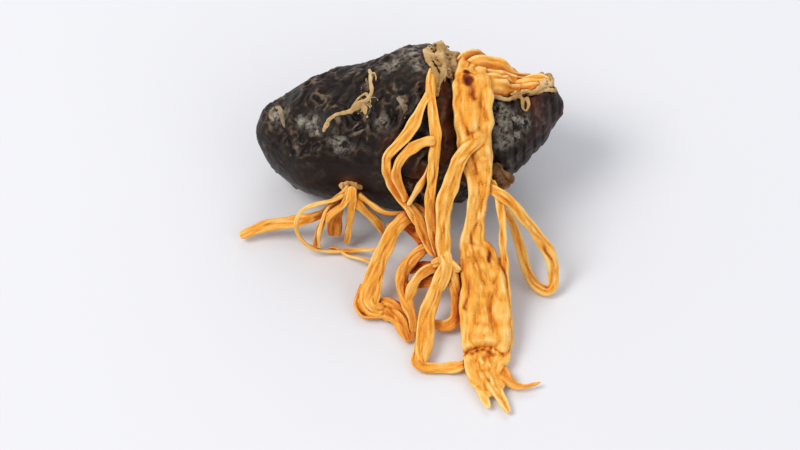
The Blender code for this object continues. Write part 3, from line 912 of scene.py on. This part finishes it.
def makeSkinThreads():
    for number, (threadName, rows) in enumerate(skinThreads.items()):
        look, felt = (veinLook, "paleFelt") if "vein" in threadName else (markLook, "dustFelt")
        shape = newShape()
        addStrand(shape, look, overSkin(rows), 60 + number)
        for hair in range(look["hairs"]):
            x, angle, lift, _ = rows[(hair * 3 + 1) % (len(rows) - 2)]
            turn = hair * 2.4 + noise.noise((hair, number, 3))
            hairRows = []
            for step in range(4):
                heading = turn + 0.35 * step
                hairRows.append((x + 0.3 * step * math.cos(heading), angle + 2.6 * step * math.sin(heading),
                                 lift * 0.4, 0.11))
            addStrand(shape, {**fibreLook, "flat": 0.5}, overSkin(hairRows), 300 + number * 10 + hair)
        finishFelt(threadName, shape, look, felt, [])


makeMat()
makePad()
makeBud()
makeSkinThreads()
print("mycelium made")


# a ribbon's look: how many ropes melt into it, and how they run
ribbon = {"ropes": 2, "ropeShare": 0.62, "wander": 0.28, "lift": 0.10, "bow": 0.0, "stray": 0.36,
          "voxel": 0.062, "score": 0.016, "sides": 20, "spacing": 0.16, "flat": 0.72, "ridges": 3,
          "depth": 0.07, "lumps": 0.12, "cup": 0.15, "wobble": 0.16, "twist": 18, "flare": 0.25,
          "ruffle": 0.10, "tip": 0.9, "blush": 1.0}
single = {"ropes": 1, "flat": 0.62, "ridges": 4, "depth": 0.06, "cup": 0.3, "ruffle": 0.16}
triple = {"ropes": 3, "ropeShare": 0.5, "wander": 0.26, "flat": 0.66}
# the smooth stretches of the trunk's face: its left, right, front and back
smoothFaces = ((-20, 8.1, -19.2, -12.4), (4, 8.1, -4.0, 1.5))
# the hollow, the creases and the lip of the trunk, each pressed in and darkened with painted shade
trunkHollows = (
    (0.5, 0.5, 2.4, ((5.15, 0.9, 14.7, 0.34), (5.2, 0.4, 14.7, 0.46), (5.35, -0.1, 14.7, 0.36))),
    (0.26, 0.35, 1.8, ((5.3, 0.1, 14.7, 0.40), (5.5, -0.7, 14.6, 0.46), (5.75, -1.4, 14.2, 0.36))),
    (0.14, 0.1, 1.5, ((4.5, 0.8, 14.5, 0.3), (4.4, -1.2, 14.2, 0.4), (4.7, -3.0, 13.5, 0.4),
        (5.3, -4.2, 12.6, 0.3))),
    (0.12, 0.1, 1.5, ((6.7, 2.0, 14.3, 0.3), (6.8, 0.0, 14.3, 0.4), (6.4, -1.8, 14.0, 0.4),
        (6.9, -3.2, 13.3, 0.3))),
    (0.12, 0.1, 1.5, ((5.6, -5.6, 11.4, 0.3), (6.0, -6.8, 10.3, 0.4), (6.7, -8.0, 9.3, 0.35),
        (6.3, -9.4, 8.2, 0.25))),
    (0.24, 0.4, 1.6, ((6.9, -9.6, 7.9, 0.2), (7.1, -10.8, 6.8, 0.38), (7.25, -11.6, 6.0, 0.45),
        (7.1, -12.6, 5.2, 0.25))),
    (0.10, 0.1, 1.5, ((6.0, -10.4, 7.2, 0.3), (5.6, -11.6, 6.0, 0.35), (6.1, -13.0, 4.9, 0.4),
        (6.6, -14.6, 4.2, 0.3))),
    (0.16, 0.3, 1.5, ((4.5, -12.0, 5.4, 0.3), (4.9, -13.4, 4.6, 0.45), (5.3, -15.0, 4.0, 0.4),
        (5.0, -16.6, 3.4, 0.3))),
    (0.10, 0.1, 1.5, ((7.9, -13.0, 4.9, 0.3), (7.7, -14.6, 4.1, 0.4), (7.2, -16.2, 3.6, 0.4),
        (7.6, -18.2, 2.8, 0.3))),
    (0.16, 0.15, 1.4, ((4.75, -20.6, 1.5, 0.15), (5.4, -20.1, 1.7, 0.22), (6.4, -19.75, 1.8, 0.26),
        (7.4, -19.9, 1.8, 0.24), (8.3, -20.4, 1.6, 0.16))),
    (0.10, 0.1, 1.5, ((6.0, -20.9, 1.3, 0.2), (6.4, -21.8, 1.2, 0.3), (7.0, -22.8, 1.0, 0.25))),
)

# each stroma: its blush, what differs from a plain ribbon, and its route from root to tip as
# x, y, z and width in millimetres
stromata = {
    "trunk": (0.68, {"ropes": 5, "ropeShare": 0.42, "wander": 0.34, "stray": 0.17, "lift": 0.07,
                     "bow": 0.5, "flat": 0.80, "voxel": 0.091, "depth": 0.04, "lumps": 0.07,
                     "wobble": 0.16, "twist": 12, "flare": 0.1, "tip": 1.0}, (
        (6.1, 5.7, 10.7, 2.2), (5.8, 3.9, 12.0, 2.6), (5.6, 2.2, 13.1, 2.9), (5.55, 0.6, 13.75, 3.3),
        (5.5, -1.5, 13.8, 3.6), (5.6, -3.3, 13.1, 3.5), (6.0, -4.7, 11.6, 3.2), (6.3, -6.1, 10.2, 2.8),
        (6.35, -7.8, 9.0, 2.1), (6.0, -8.9, 8.0, 1.7), (5.8, -10.2, 6.9, 1.75), (5.75, -11.1, 5.8, 2.3),
        (6.1, -11.9, 5.0, 3.2), (6.45, -12.9, 4.1, 3.7), (6.7, -14.2, 3.3, 3.7), (6.75, -15.8, 2.5, 3.7),
        (6.75, -17.4, 1.9, 4.0), (6.6, -19.0, 1.45, 4.2), (6.45, -20.1, 1.15, 3.9))),
    "trunk_edge": (0.5, {**single, "ridges": 2}, (
        (7.3, -7.0, 9.4, 0.5), (7.75, -7.7, 8.8, 0.6), (8.05, -8.6, 8.0, 0.65), (8.3, -9.9, 6.9, 0.65),
        (8.35, -11.3, 5.4, 0.7), (8.45, -12.7, 4.0, 0.8), (8.55, -14.4, 2.9, 0.85),
        (8.75, -16.3, 2.1, 0.8), (8.9, -18.6, 1.5, 0.75), (8.9, -19.6, 1.2, 0.5))),
    "trunk_end": (0.6, {"ropes": 5, "ropeShare": 0.4, "wander": 0.3, "lift": 0.05, "bow": -0.9,
                        "flat": 0.55, "depth": 0.05, "twist": 8, "tip": 2.2, "flare": 0.0}, (
        (6.5, -18.6, 0.75, 3.4), (6.6, -19.8, 0.8, 3.9), (6.6, -20.8, 0.8, 3.8), (6.8, -21.8, 0.75, 3.4),
        (7.15, -22.8, 0.7, 2.9), (7.5, -23.9, 0.6, 2.2))),
    "finger_left": (0.9, {**single, "tip": 3.0}, (
        (5.9, -21.6, 0.7, 1.0), (6.1, -22.9, 0.65, 1.0), (6.5, -24.1, 0.55, 0.8),
        (7.1, -25.5, 0.5, 0.4))),
    "finger_middle": (0.9, {"tip": 2.4}, (
        (6.9, -21.8, 0.75, 1.1), (7.4, -23.0, 0.7, 1.25), (8.1, -24.5, 0.6, 1.05),
        (8.8, -26.0, 0.5, 0.5))),
    "finger_right": (0.05, {**single, "tip": 4.0}, (
        (7.6, -21.0, 0.75, 0.9), (8.4, -22.1, 0.7, 1.0), (9.1, -22.9, 0.6, 0.85), (10.2, -23.2, 0.6, 0.6),
        (11.7, -22.7, 0.7, 0.3))),
    "front_ribbon": (0.5, {"cup": 0.25}, (
        (2.2, 1.6, 14.5, 0.6), (2.0, 0.2, 14.75, 0.8), (1.95, -1.5, 14.5, 0.9), (2.25, -3.8, 13.6, 0.95),
        (2.3, -5.3, 12.4, 0.95), (2.15, -6.6, 10.8, 0.9), (1.95, -8.0, 9.3, 0.95), (1.9, -8.9, 8.0, 0.95),
        (2.0, -9.7, 6.6, 0.9), (2.3, -10.7, 5.4, 0.9), (2.9, -12.0, 4.7, 0.9), (3.4, -13.0, 4.5, 0.7))),
    "slanting_stroma": (0.5, {**triple, "tip": 1.6, "flare": -0.3}, (
        (6.3, -2.2, 12.9, 0.5), (6.75, -3.1, 12.85, 0.75), (6.75, -3.85, 12.7, 0.95),
        (6.1, -4.7, 12.3, 1.1), (5.2, -5.45, 11.85, 1.25), (4.4, -6.2, 11.2, 1.4),
        (4.0, -7.0, 10.5, 1.45), (3.65, -7.9, 9.6, 1.5), (3.25, -9.0, 8.6, 1.45),
        (2.95, -10.3, 7.4, 1.35), (3.0, -11.7, 5.9, 1.3), (3.2, -12.6, 5.1, 1.15),
        (3.4, -13.2, 4.5, 0.8))),
    "outer_hook": (0.6, {**single}, (
        (1.9, -1.2, 14.5, 0.6), (1.4, -2.0, 14.5, 0.75), (1.05, -2.7, 14.3, 0.8), (0.7, -3.5, 13.9, 0.85),
        (0.0, -4.45, 13.1, 0.95), (-1.0, -5.15, 12.2, 1.0), (-1.9, -5.65, 11.2, 0.95),
        (-2.0, -6.2, 10.4, 0.85), (-1.8, -6.65, 9.2, 0.75), (-1.3, -7.2, 8.1, 0.7),
        (-0.6, -7.8, 7.3, 0.7), (0.2, -8.45, 6.6, 0.75), (0.9, -9.2, 5.7, 0.6))),
    "inner_hook": (0.35, {**single}, (
        (2.4, -5.1, 12.6, 0.6), (1.5, -5.2, 12.7, 0.8), (0.5, -5.5, 12.3, 0.85), (-0.4, -5.8, 11.5, 0.9),
        (-1.0, -6.3, 10.7, 0.85), (-1.1, -6.7, 9.6, 0.8), (-0.75, -7.2, 8.6, 0.7),
        (-0.2, -7.9, 7.4, 0.6))),
    "short_link": (0.5, {}, (
        (-0.2, -7.9, 6.9, 0.7), (0.6, -8.6, 6.4, 0.9), (1.2, -9.6, 5.3, 1.0), (1.8, -10.4, 4.5, 1.05),
        (2.6, -11.6, 4.3, 1.0), (3.4, -12.9, 4.6, 0.8))),
    "hairpin_loop": (0.5, {"wobble": 0.08, "cup": 0.2}, (
        (6.9, -7.4, 9.0, 0.6), (7.6, -7.7, 8.9, 0.85), (8.5, -8.2, 8.5, 0.95), (9.4, -8.7, 7.8, 0.95),
        (10.2, -9.15, 6.7, 1.0), (11.1, -9.6, 5.5, 1.0), (12.0, -10.15, 4.2, 1.05),
        (12.7, -10.9, 2.9, 1.05), (12.9, -11.8, 1.7, 1.0), (12.7, -12.6, 0.8, 0.95),
        (12.0, -12.6, 0.6, 0.95), (11.1, -11.8, 0.7, 0.9), (10.5, -10.65, 1.2, 0.85),
        (10.1, -9.5, 2.0, 0.8), (9.7, -8.6, 3.1, 0.75), (9.2, -7.9, 4.6, 0.7), (8.5, -7.9, 6.4, 0.6))),
    "long_left_stroma": (0.5, {"wobble": 0.1, "tip": 2.6, "cup": 0.0, "flat": 0.9}, (
        (-5.2, -5.5, 6.6, 0.6), (-5.8, -5.9, 5.8, 0.7), (-6.5, -6.2, 5.2, 0.75), (-7.3, -6.55, 4.4, 0.8),
        (-8.5, -6.5, 3.4, 0.9), (-10.0, -6.3, 2.5, 0.95), (-12.0, -6.1, 1.7, 1.05),
        (-13.8, -6.2, 1.1, 1.0), (-15.2, -6.7, 0.7, 0.85))),
    "crossing_stroma": (0.5, {**single}, (
        (-5.0, -5.7, 6.6, 0.6), (-5.4, -6.2, 6.0, 0.7), (-5.9, -6.8, 5.4, 0.65), (-6.9, -7.4, 5.0, 0.7),
        (-7.7, -7.3, 3.4, 0.65), (-8.2, -7.45, 1.6, 0.6), (-8.35, -7.7, 0.5, 0.4))),
    "hanging_stroma": (0.5, {**single}, (
        (-5.0, -5.75, 6.9, 0.7), (-5.1, -6.3, 5.9, 0.85), (-5.15, -6.75, 5.0, 0.8),
        (-5.2, -6.9, 4.0, 0.75), (-5.4, -7.1, 2.3, 0.7), (-5.6, -7.5, 0.6, 0.5))),
    "club_stroma": (0.05, {"flat": 0.9, "cup": 0.0}, (
        (-5.9, -5.9, 4.9, 0.6), (-6.35, -6.15, 3.2, 0.9), (-6.6, -6.5, 2.2, 1.25),
        (-6.6, -6.8, 1.0, 1.0))),
    "slim_stroma": (0.5, {**single}, (
        (-5.1, -5.7, 6.7, 0.6), (-4.9, -6.1, 5.9, 0.75), (-4.4, -6.5, 5.1, 0.75), (-3.9, -6.7, 4.5, 0.75),
        (-3.3, -6.8, 3.8, 0.75), (-2.6, -7.0, 2.7, 0.65), (-2.1, -7.1, 1.0, 0.5))),
    "left_fold_upper": (0.5, {**triple, "cup": 0.2, "tip": 1.5}, (
        (1.3, -8.9, 5.8, 0.8), (0.5, -8.4, 5.9, 1.0), (-0.4, -8.6, 5.6, 1.2), (-1.4, -9.3, 4.9, 1.35),
        (-2.1, -10.4, 4.0, 1.5), (-2.7, -11.6, 3.2, 1.65), (-3.2, -12.9, 2.4, 1.75),
        (-3.5, -14.0, 1.7, 1.8), (-3.4, -14.8, 1.2, 1.7), (-2.8, -15.1, 1.0, 1.5),
        (-2.1, -15.0, 0.9, 1.2))),
    "left_fold_lower": (0.2, {**triple, "cup": 0.15}, (
        (-3.9, -13.0, 2.0, 0.7), (-4.15, -14.0, 1.4, 1.1), (-4.1, -14.9, 0.9, 1.4),
        (-3.2, -15.0, 0.8, 1.7), (-2.0, -14.8, 0.75, 1.9), (-1.0, -15.5, 0.7, 1.7),
        (-0.4, -16.7, 0.6, 1.4), (0.1, -18.2, 0.5, 0.9))),
    "inner_branch": (0.5, {"wander": 0.2}, (
        (2.0, -10.4, 4.3, 0.7), (1.2, -10.6, 4.0, 0.95), (0.4, -11.0, 3.3, 1.1), (-0.4, -11.9, 2.5, 1.15),
        (-0.6, -13.3, 1.8, 1.2), (-0.2, -14.6, 1.3, 1.1), (0.3, -15.9, 0.9, 0.9),
        (0.35, -17.3, 0.6, 0.6))),
    "small_arch": (0.5, {**single}, (
        (3.5, -12.9, 4.6, 0.8), (2.5, -12.5, 4.0, 0.9), (1.7, -12.5, 3.6, 0.95), (0.8, -13.0, 3.0, 0.9),
        (0.15, -13.9, 2.0, 0.8), (-0.1, -14.7, 1.3, 0.6))),
    "front_fold_upper": (0.5, {**triple, "tip": 1.5}, (
        (3.4, -12.8, 4.7, 0.9), (2.85, -13.6, 4.1, 1.05), (2.3, -14.7, 3.0, 1.3), (1.85, -15.9, 2.3, 1.6),
        (1.5, -17.3, 1.7, 1.7), (1.3, -18.9, 1.25, 1.55), (1.2, -20.0, 1.0, 1.2),
        (1.25, -20.7, 0.8, 0.8))),
    "front_fold_lower": (0.5, {**single}, (
        (1.1, -18.3, 1.3, 0.5), (0.85, -19.5, 1.0, 0.9), (0.75, -20.6, 0.75, 1.1), (1.3, -21.1, 0.6, 1.1),
        (2.4, -21.1, 0.5, 1.0), (3.5, -21.1, 0.5, 0.95), (4.5, -21.0, 0.6, 0.9), (5.3, -20.7, 0.7, 0.8))),
    "small_curl": (0.35, {**single}, (
        (3.3, -12.3, 4.8, 0.8), (3.75, -13.1, 3.8, 1.0), (4.15, -14.0, 2.8, 1.05),
        (4.35, -15.1, 1.9, 1.05), (4.1, -16.2, 1.25, 1.05), (3.4, -16.75, 0.9, 0.95),
        (2.6, -16.6, 0.85, 0.85), (1.9, -16.5, 1.1, 0.6))),
}


# the pale knot where four strands meet
knotRays = (
    ((3.0, -11.6, 5.6, 0.4), (3.2, -12.2, 5.35, 0.95), (3.4, -12.9, 4.9, 1.1), (3.3, -13.6, 4.1, 0.9),
     (2.8, -14.5, 3.2, 0.5)),
    ((3.2, -12.2, 5.4, 0.6), (3.7, -13.0, 4.5, 1.0), (4.1, -13.8, 3.4, 0.85), (4.35, -14.8, 2.4, 0.5)),
    ((3.5, -12.5, 5.1, 0.6), (2.8, -12.5, 4.75, 0.8), (2.1, -12.5, 4.2, 0.6)),
    ((3.0, -12.6, 5.1, 0.5), (3.8, -12.9, 4.8, 0.75), (4.6, -13.3, 4.4, 0.45)),
)


# stromata that grow out of one another are melted into one piece
bundles = {
    "trunk_flesh": ("trunk", "trunk_edge", "trunk_end", "finger_left", "finger_middle", "finger_right",
                    "slanting_stroma", "hairpin_loop"),
    "front_hooks_flesh": ("front_ribbon", "outer_hook", "inner_hook", "short_link"),
    "front_knot_flesh": ("small_arch", "small_curl", "inner_branch", "front_fold_upper", "front_fold_lower"),
    "left_fold_flesh": ("left_fold_upper", "left_fold_lower"),
    "belly_cluster_flesh": ("long_left_stroma", "crossing_stroma", "hanging_stroma", "club_stroma",
                            "slim_stroma"),
}
order = list(stromata)


def finishFlesh(name, shape, score, nodes):
    scoreGrain(shape, score)
    readRelief(shape, 6, 0.045)
    finishPiece(name, shape, driedFlesh, nodes)


def makeBundle(name, nodeNames):
    shape = newShape()
    voxel = ribbon["voxel"]
    for nodeName in nodeNames:
        blush, change, path = stromata[nodeName]
        addRibbon(shape, {**ribbon, **change, "blush": blush}, path, order.index(nodeName) + 1)
        voxel = max(voxel, change.get("voxel", 0))
    if "trunk" in nodeNames:
        for number, rows in enumerate(matFlows):
            addStrand(shape, flowLook, overSkin(rows), 90 + number)
    if "small_curl" in nodeNames:
        for number, rows in enumerate(knotRays):
            addRibbon(shape, {**ribbon, "blush": 0.9}, rows, 80 + number)
    shape = fuse(shape, voxel)
    if "trunk" in nodeNames:
        shape.normal_update()
        face = []
        for left, right, front, back in smoothFaces:
            face += [vert for vert in shape.verts if vert.normal.dot(lookFrom) > 0.1
                     and left < vert.co.x < right and front < vert.co.y < back]
        soften(shape, face, 16)
        pressHollows(shape, trunkHollows)
    finishFlesh(name, shape, ribbon["score"], nodeNames)


for bundleName, nodeNames in bundles.items():
    makeBundle(bundleName, nodeNames)
print("stromata made")

# threads and webs too fine for the frame
thread = {"ropes": 1, "flat": 0.75, "ridges": 2, "depth": 0.03, "lumps": 0.08, "cup": 0.0, "wobble": 0.2,
          "twist": 30, "sides": 14, "voxel": 0.055, "score": 0.008}
web = {**triple, "flat": 0.5, "cup": 0.0}
threads = {
    "gap_thread": (0.9, thread, (
        (2.3, -5.6, 11.7, 0.4), (1.9, -6.3, 10.9, 0.5), (1.3, -7.2, 9.9, 0.5), (0.6, -7.8, 8.7, 0.5),
        (-0.1, -8.2, 7.3, 0.4))),
    "ring_thread": (1.0, thread, (
        (-5.6, -6.0, 6.0, 0.35), (-6.8, -6.6, 5.9, 0.4), (-8.0, -6.7, 5.6, 0.4), (-9.5, -6.9, 4.9, 0.35),
        (-10.1, -7.5, 3.7, 0.35), (-9.8, -8.0, 2.3, 0.35), (-8.8, -8.3, 1.2, 0.4), (-7.5, -8.3, 0.6, 0.4),
        (-6.0, -8.2, 0.5, 0.4), (-4.5, -8.4, 0.9, 0.4), (-2.9, -9.5, 2.5, 0.35),
        (-1.9, -10.2, 3.8, 0.3))),
    "cross_thread": (1.0, thread, (
        (-6.2, -6.1, 5.4, 0.3), (-7.2, -6.9, 5.2, 0.35), (-7.8, -7.6, 3.9, 0.35), (-8.1, -8.0, 2.2, 0.32),
        (-8.0, -8.2, 0.9, 0.3))),
    "belly_thread": (0.6, thread, (
        (-4.6, -5.9, 6.0, 0.4), (-3.0, -6.8, 5.2, 0.5), (-1.8, -7.5, 5.2, 0.45), (0.4, -8.0, 6.0, 0.5))),
    "low_thread": (0.9, thread, (
        (-7.2, -7.8, 0.5, 0.3), (-6.4, -7.95, 0.5, 0.35), (-5.5, -8.7, 0.5, 0.35),
        (-3.9, -9.8, 1.3, 0.35), (-3.2, -10.9, 2.2, 0.35), (-2.6, -11.7, 3.1, 0.3))),
    "brown_web": (-0.4, web, (
        (-1.9, -8.6, 4.3, 0.8), (-0.9, -8.0, 4.3, 1.2), (0.2, -8.1, 4.1, 1.5), (1.2, -9.0, 4.0, 1.5),
        (2.2, -10.4, 3.9, 1.2))),
    "upper_web": (-0.4, web, (
        (0.2, -7.4, 6.2, 0.6), (0.9, -8.0, 6.0, 1.1), (1.4, -8.9, 5.6, 1.3), (1.8, -9.8, 5.0, 1.1))),
    "knot_web": (-0.2, web, (
        (0.0, -11.6, 1.9, 0.5), (1.0, -11.3, 2.4, 0.9), (2.0, -12.0, 3.0, 1.3), (3.2, -12.6, 3.6, 1.5),
        (4.4, -13.0, 3.6, 1.4), (5.2, -13.4, 3.2, 1.0))),
    "arch_web": (-0.2, web, (
        (0.0, -13.1, 1.7, 0.7), (0.8, -12.9, 2.1, 1.1), (1.6, -12.95, 2.4, 1.2), (2.5, -13.3, 2.8, 0.9))),
}
for number, (threadName, (blush, change, path)) in enumerate(threads.items()):
    shape = newShape()
    addRibbon(shape, {**ribbon, **change, "blush": blush}, path, number + 41)
    finishFlesh(threadName, fuse(shape, thread["voxel"]), thread["score"], [])
print("threads made")


# shade is how shut in each point is, kept as an attribute that the materials read
def bakeShade(rays=9, reach=2.6):
    points, faces = [], []
    for piece in pieces:
        start = len(points)
        points.extend(vert.co for vert in piece.data.vertices)
        faces.extend([start + index for index in face.vertices] for face in piece.data.polygons)
    tree = BVHTree.FromPolygons(points, faces)
    dice = random.Random(4)
    fan = []
    while len(fan) < rays:
        arrow = Vector((dice.gauss(0, 1), dice.gauss(0, 1), dice.gauss(0, 1))).normalized() + up
        if arrow.length > 0.2:
            fan.append(arrow.normalized())
    for piece in pieces:
        layer = piece.data.attributes["shade"].data
        for vert, cell in zip(piece.data.vertices, layer):
            turn = up.rotation_difference(vert.normal)
            start = vert.co + vert.normal * 0.03 * mm
            hidden = 0.0
            for arrow in fan:
                hit = tree.ray_cast(start, turn @ arrow, reach * mm)
                if hit[0]:
                    hidden += 1 - 0.6 * hit[3] / (reach * mm)
            cell.value = hidden / rays


bakeShade()
print("shade worked out")


# the floor

def makeFloor():
    material, _, shader = blankMaterial("paleFloor")
    setShader(shader, {"Base Color": (0.775, 0.775, 0.80, 1), "Roughness": 0.9, "Specular IOR Level": 0.1})
    shape = bmesh.new()
    bmesh.ops.create_grid(shape, x_segments=2, y_segments=2, size=3)
    mesh = bpy.data.meshes.new("floor")
    shape.to_mesh(mesh)
    shape.free()
    mesh.materials.append(material)
    floor = bpy.data.objects.new("floor", mesh)
    bpy.context.scene.collection.objects.link(floor)


makeFloor()
